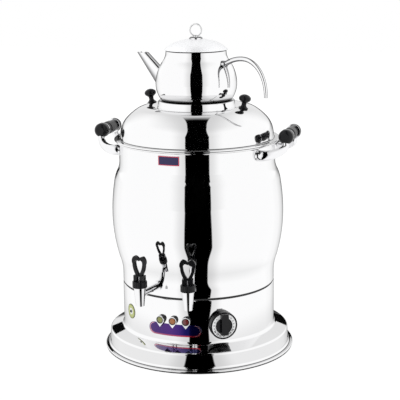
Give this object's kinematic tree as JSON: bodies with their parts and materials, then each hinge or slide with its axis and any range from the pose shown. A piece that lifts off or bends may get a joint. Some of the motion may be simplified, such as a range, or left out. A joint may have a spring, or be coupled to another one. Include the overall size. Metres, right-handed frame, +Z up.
{
  "type": "tea urn",
  "caption": "Mirror-polished catering tea urn: heated water tank on a flared base with front taps and a thermostat knob, domed lid with a collar that carries a teapot.",
  "frame": {"origin": "on the urn's vertical axis, at the surface that it stands on", "axes": "+Z up, -Y is the front with the taps, +X to the right seen from the front"},
  "size_m": [0.437, 0.4475, 0.7006],
  "materials": {
    "polished_steel": "mirror polished stainless steel",
    "chrome": "chromed, polished",
    "plain_steel": "plain",
    "brass": "plain",
    "black_plastic": "black thermoset, glossy",
    "dark_plastic": "matt",
    "black_rubber": "matt",
    "white_silicone": "matt",
    "green_lens": "clear green",
    "amber_lens": "clear amber",
    "red_lens": "clear dark red",
    "violet_panel": "printed, satin",
    "blue_plate": "printed, satin",
    "yellow_disc": "printed, satin",
    "white_ceramic": "unglazed",
    "white_dial": "printed, satin"
  },
  "bodies": {
    "urn": {"base_shell": "polished_steel", "blank_plate": "blue_plate", "bottom_cover": "plain_steel", "cable_gland": "dark_plastic", "dry_boil_cutout": "dark_plastic", "element_bushes": "brass", "foot_ring": "black_rubber", "handle_bolts": "plain_steel", "handle_trim": "chrome", "heating_element": "plain_steel", "hex_nuts": "plain_steel", "inner_seals": "white_silicone", "lamp_bezels": "chrome", "lamp_holders": "dark_plastic", "lamp_lens_amber": "amber_lens", "lamp_lens_green": "green_lens", "lamp_lens_red": "red_lens", "lamp_panel": "violet_panel", "left_handle_arms": "chrome", "left_handle_grip": "black_plastic", "left_tap_body": "chrome", "left_tap_cap": "black_plastic", "left_tap_spring": "plain_steel", "right_handle_arms": "chrome", "right_handle_grip": "black_plastic", "right_tap_body": "chrome", "right_tap_cap": "black_plastic", "right_tap_spring": "plain_steel", "seam_gasket": "black_rubber", "side_disc": "yellow_disc", "side_disc_screw": "plain_steel", "tank_floor": "plain_steel", "tank_wall": "polished_steel", "tap_flanges": "chrome", "terminal_block": "white_ceramic", "thermostat_body": "dark_plastic", "thermostat_bracket": "plain_steel", "thermostat_bulb": "brass", "tie_studs": "plain_steel"},
    "lid": {"lid_shell": "polished_steel", "teapot_collar": "polished_steel", "lid_knobs": "black_plastic", "lid_knob_screws": "plain_steel"},
    "teapot": {"teapot_body": "polished_steel", "teapot_spout": "polished_steel", "teapot_handle": "polished_steel"},
    "teapot_cover": {"teapot_lid": "polished_steel", "ring_base": "polished_steel", "ring_knob": "polished_steel"},
    "temperature_knob": {"thermostat_knob": "black_plastic", "thermostat_dial": "white_dial", "thermostat_shaft": "plain_steel"},
    "left_valve": {"left_tap_stem": "plain_steel", "left_seat_cup": "white_silicone"},
    "left_lever": {"left_tap_lever": "black_plastic", "left_lever_pin": "plain_steel"},
    "right_valve": {"right_tap_stem": "plain_steel", "right_seat_cup": "white_silicone"},
    "right_lever": {"right_tap_lever": "black_plastic", "right_lever_pin": "plain_steel"}
  },
  "joints": [
    {"name": "lid_lift", "type": "slide", "parent": "urn", "child": "lid", "axis": [0, 0, 1], "range_m": [0, 0.12]},
    {"name": "teapot_lift", "type": "slide", "parent": "lid", "child": "teapot", "axis": [0, 0, 1], "range_m": [0, 0.08]},
    {"name": "teapot_cover_lift", "type": "slide", "parent": "teapot", "child": "teapot_cover", "axis": [0, 0, 1], "range_m": [0, 0.06]},
    {"name": "temperature_turn", "type": "hinge", "parent": "urn", "child": "temperature_knob", "pos_m": [0.09383, -0.14176, 0.0916], "axis": [-0.5519, 0.8339, 0], "range_deg": [0, 270]},
    {"name": "left_tap_lift", "type": "slide", "parent": "urn", "child": "left_valve", "axis": [0, 0, 1], "range_m": [0, 0.003], "stiffness_N_per_m": 600, "springref_m": -0.002, "deforming": ["left_tap_spring"]},
    {"name": "left_lever_tilt", "type": "hinge", "parent": "left_valve", "child": "left_lever", "pos_m": [-0.05759, -0.22267, 0.20485], "axis": [0.9681, -0.2504, 0], "range_deg": [0, 35.5]},
    {"name": "right_tap_lift", "type": "slide", "parent": "urn", "child": "right_valve", "axis": [0, 0, 1], "range_m": [0, 0.003], "stiffness_N_per_m": 600, "springref_m": -0.002, "deforming": ["right_tap_spring"]},
    {"name": "right_lever_tilt", "type": "hinge", "parent": "right_valve", "child": "right_lever", "pos_m": [0.04507, -0.22554, 0.20485], "axis": [0.9806, 0.1959, 0], "range_deg": [0, 35.5]}
  ],
  "couplings": [
    {"joint": "left_lever_tilt", "follows": "left_tap_lift", "rad_per_m": 203.62},
    {"joint": "right_lever_tilt", "follows": "right_tap_lift", "rad_per_m": 203.62}
  ]
}
